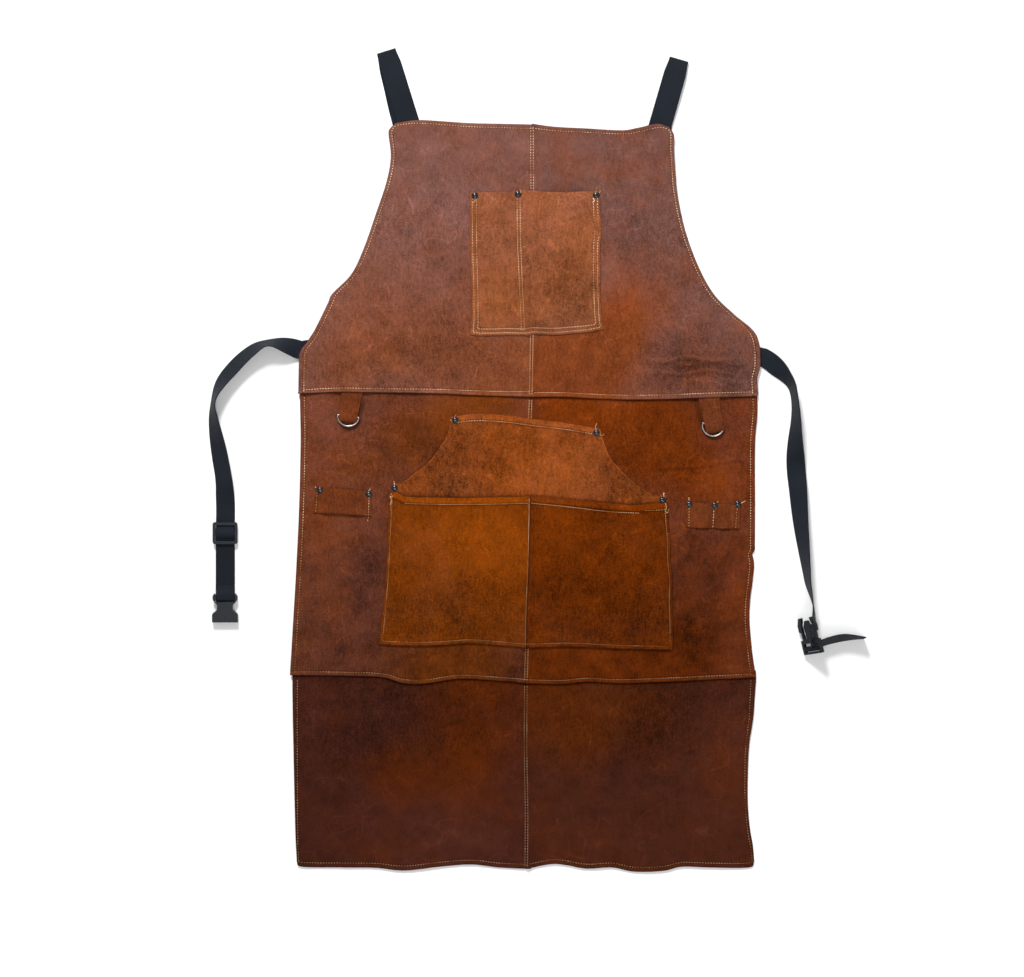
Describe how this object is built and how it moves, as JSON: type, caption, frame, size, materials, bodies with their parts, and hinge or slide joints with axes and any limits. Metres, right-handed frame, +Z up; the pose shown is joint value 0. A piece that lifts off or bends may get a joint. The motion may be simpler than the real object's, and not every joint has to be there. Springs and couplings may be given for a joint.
{
  "type": "welding apron",
  "caption": "Full-length split-leather welding apron laid flat: bib, chest pocket, hand-warmer and tool pockets, tool loops, D-rings, crossed shoulder webbing and a buckled waist strap.",
  "frame": {"origin": "on the floor, under the middle of the leather and shoulder straps, without the free waist straps", "axes": "+X to the right as seen from the front, +Y towards the top of the bib, +Z up out of the apron front"},
  "size_m": [0.8783, 1.096, 0.031],
  "materials": {
    "suede_bib": "matt split cowhide suede, reddish brown",
    "suede_middle": "matt split cowhide suede, warm brown",
    "suede_skirt": "matt split cowhide suede, dark brown",
    "suede_pocket": "matt split cowhide suede, orange brown",
    "thread": "waxed beige sewing thread",
    "webbing": "black woven polypropylene webbing",
    "black_plastic": "moulded black acetal, satin",
    "rivet_metal": "dark gunmetal plated, domed and polished",
    "nickel": "nickel plated steel wire"
  },
  "bodies": {
    "bib": {"bib_panel_left": "suede_bib", "bib_panel_right": "suede_bib", "chest_pocket": "suede_pocket", "chest_rivets": "rivet_metal", "chest_washers": "rivet_metal", "shoulder_strap_left": "webbing", "shoulder_strap_right": "webbing", "cross_patch": "suede_middle", "wing_patch_left": "suede_middle", "wing_patch_right": "suede_middle", "waist_anchor_left": "webbing", "waist_anchor_right": "webbing"},
    "middle": {"middle_panel_left": "suede_middle", "middle_panel_right": "suede_middle", "hand_pocket_panel": "suede_pocket", "lower_pocket_left": "suede_pocket", "lower_pocket_right": "suede_pocket", "hammer_loop": "suede_pocket", "tool_loop": "suede_pocket", "hand_rivets": "rivet_metal", "lower_rivets": "rivet_metal", "hammer_rivets": "rivet_metal", "tool_rivets": "rivet_metal", "middle_washers": "rivet_metal", "d_ring_tab_left": "suede_pocket", "d_ring_tab_right": "suede_pocket", "left_waist_strap": "webbing", "left_strap_return": "webbing", "right_waist_strap": "webbing", "right_strap_twist": "webbing", "right_strap_fold": "webbing", "right_strap_tail": "webbing", "plug_strap_end": "webbing"},
    "skirt": {"skirt_panel_left": "suede_skirt", "skirt_panel_right": "suede_skirt"},
    "d_ring_left": {"d_ring_left": "nickel"},
    "d_ring_right": {"d_ring_right": "nickel"},
    "slider": {"slider_frame": "black_plastic", "slider_wrap": "webbing"},
    "socket": {"buckle_socket": "black_plastic"},
    "plug": {"buckle_plug": "black_plastic"},
    "prong_left": {"plug_prong_left": "black_plastic"},
    "prong_right": {"plug_prong_right": "black_plastic"}
  },
  "joints": [
    {"name": "bib_fold", "type": "hinge", "parent": "middle", "child": "bib", "pos_m": [0.004, 0.085, 0.0014], "axis": [1, 0, 0], "range_deg": [0, 120]},
    {"name": "skirt_fold", "type": "hinge", "parent": "middle", "child": "skirt", "pos_m": [0.004, -0.29, 0.0014], "axis": [-1, 0, 0], "range_deg": [0, 120]},
    {"name": "left_ring_swing", "type": "hinge", "parent": "middle", "child": "d_ring_left", "pos_m": [-0.2355, 0.0576, 0.00455], "axis": [-0.9903, 0.1392, 0], "range_deg": [0, 150]},
    {"name": "right_ring_swing", "type": "hinge", "parent": "middle", "child": "d_ring_right", "pos_m": [0.249, 0.0445, 0.00455], "axis": [-0.9511, 0.309, 0], "range_deg": [0, 150]},
    {"name": "slider_travel", "type": "slide", "parent": "middle", "child": "slider", "axis": [0, 1, 0], "range_m": [-0.045, 0.035]},
    {"name": "socket_tilt", "type": "hinge", "parent": "middle", "child": "socket", "pos_m": [-0.399, -0.181, 0.0035], "axis": [-1, 0, 0], "range_deg": [0, 80]},
    {"name": "plug_tilt", "type": "hinge", "parent": "middle", "child": "plug", "pos_m": [0.3805, -0.25, 0.0168], "axis": [0.6245, 0.1522, 0.766], "range_deg": [0, 45]},
    {"name": "left_prong_squeeze", "type": "hinge", "parent": "plug", "child": "prong_left", "pos_m": [0.37006, -0.23783, 0.00814], "axis": [0.7442, 0.1814, -0.6428], "range_deg": [0, 7], "stiffness_Nm_per_rad": 0.05},
    {"name": "right_prong_squeeze", "type": "hinge", "parent": "plug", "child": "prong_right", "pos_m": [0.38417, -0.23439, 0.02546], "axis": [-0.7442, -0.1814, 0.6428], "range_deg": [0, 7], "stiffness_Nm_per_rad": 0.05}
  ]
}
